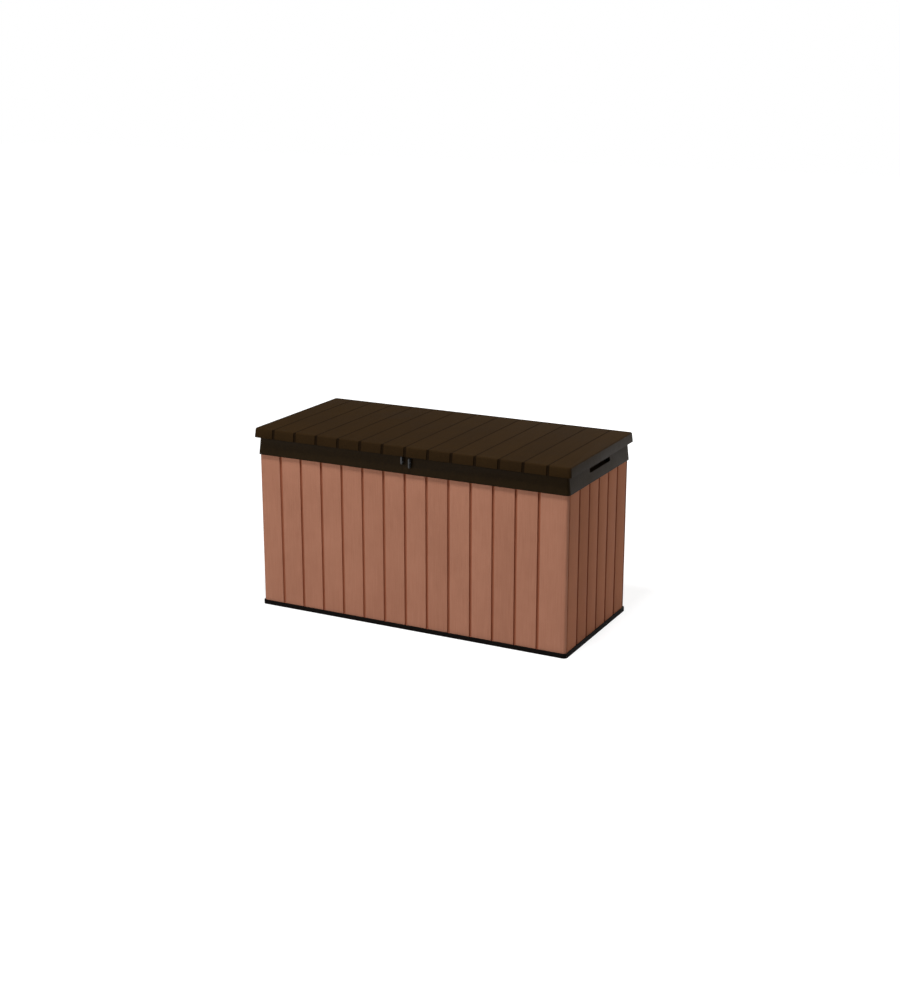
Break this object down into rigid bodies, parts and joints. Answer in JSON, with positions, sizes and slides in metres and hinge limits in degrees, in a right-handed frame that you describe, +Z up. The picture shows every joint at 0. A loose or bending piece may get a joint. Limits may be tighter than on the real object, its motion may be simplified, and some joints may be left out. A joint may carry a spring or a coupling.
{
  "type": "deck storage box",
  "caption": "Outdoor deck storage box: planked resin walls in a base channel, flared upper rails with hand slots, and a planked lid on rear hinges held open by gas springs.",
  "frame": {"origin": "middle of the footprint on the floor, under the box", "axes": "+X to the right along the length, +Y to the back where the hinges are, +Z up; the front faces -Y"},
  "size_m": [1.26, 0.58, 0.682],
  "materials": {
    "dark_plastic": "matt, fine grain",
    "clay_plastic": "matt, fine grain",
    "black_plastic": "matt",
    "liner_plastic": "matt",
    "hinge_steel": "plated",
    "screw_zinc": "plated",
    "cylinder_paint": "satin",
    "rod_steel": "polished",
    "socket_polymer": "satin"
  },
  "bodies": {
    "box": {"floor_panel": "black_plastic", "front_wall": "clay_plastic", "rear_wall": "clay_plastic", "left_wall": "clay_plastic", "right_wall": "clay_plastic", "front_rail": "dark_plastic", "rear_rail": "dark_plastic", "left_rail": "dark_plastic", "right_rail": "dark_plastic", "rail_screws": "screw_zinc", "rail_hinge_left": "hinge_steel", "rail_hinge_middle": "hinge_steel", "rail_hinge_right": "hinge_steel", "hinge_pin_left": "hinge_steel", "hinge_pin_middle": "hinge_steel", "hinge_pin_right": "hinge_steel", "rail_hinge_screws": "screw_zinc", "wall_bracket_left": "hinge_steel", "wall_bracket_right": "hinge_steel", "wall_bracket_screws": "screw_zinc", "lower_ball_stud_left": "hinge_steel", "lower_ball_stud_right": "hinge_steel", "rail_lock_lug": "dark_plastic"},
    "lid": {"lid_cover": "dark_plastic", "lid_liner": "liner_plastic", "liner_screws": "screw_zinc", "lid_hinge_left": "hinge_steel", "lid_hinge_middle": "hinge_steel", "lid_hinge_right": "hinge_steel", "lid_hinge_screws": "screw_zinc", "lid_bracket_left": "hinge_steel", "lid_bracket_right": "hinge_steel", "lid_bracket_screws": "screw_zinc", "upper_ball_stud_left": "hinge_steel", "upper_ball_stud_right": "hinge_steel", "lid_lock_lug": "dark_plastic", "lid_lug_screws": "screw_zinc"},
    "cylinder_left": {"gas_cylinder_left": "cylinder_paint", "cylinder_gland_left": "socket_polymer", "lower_socket_left": "socket_polymer"},
    "rod_left": {"gas_rod_left": "rod_steel", "gas_piston_left": "socket_polymer", "upper_socket_left": "socket_polymer"},
    "cylinder_right": {"gas_cylinder_right": "cylinder_paint", "cylinder_gland_right": "socket_polymer", "lower_socket_right": "socket_polymer"},
    "rod_right": {"gas_rod_right": "rod_steel", "gas_piston_right": "socket_polymer", "upper_socket_right": "socket_polymer"}
  },
  "joints": [
    {"name": "lid_hinge", "type": "hinge", "parent": "box", "child": "lid", "pos_m": [0, 0.2782, 0.65], "axis": [-1, 0, 0], "range_deg": [0, 85]},
    {"name": "cylinder_pivot_left", "type": "hinge", "parent": "box", "child": "cylinder_left", "pos_m": [-0.588, 0.24031, 0.49455], "axis": [-1, 0, 0], "range_deg": [0, 42.5]},
    {"name": "rod_pivot_left", "type": "hinge", "parent": "lid", "child": "rod_left", "pos_m": [-0.588, 0.11865, 0.638], "axis": [-1, 0, 0], "range_deg": [-42.5, 0]},
    {"name": "cylinder_pivot_right", "type": "hinge", "parent": "box", "child": "cylinder_right", "pos_m": [0.588, 0.24031, 0.49455], "axis": [-1, 0, 0], "range_deg": [0, 42.5]},
    {"name": "rod_pivot_right", "type": "hinge", "parent": "lid", "child": "rod_right", "pos_m": [0.588, 0.11865, 0.638], "axis": [-1, 0, 0], "range_deg": [-42.5, 0]}
  ],
  "couplings": [
    {"joint": "cylinder_pivot_left", "follows": "lid_hinge", "ratio": 0.5},
    {"joint": "rod_pivot_left", "follows": "lid_hinge", "ratio": -0.5},
    {"joint": "cylinder_pivot_right", "follows": "lid_hinge", "ratio": 0.5},
    {"joint": "rod_pivot_right", "follows": "lid_hinge", "ratio": -0.5}
  ]
}
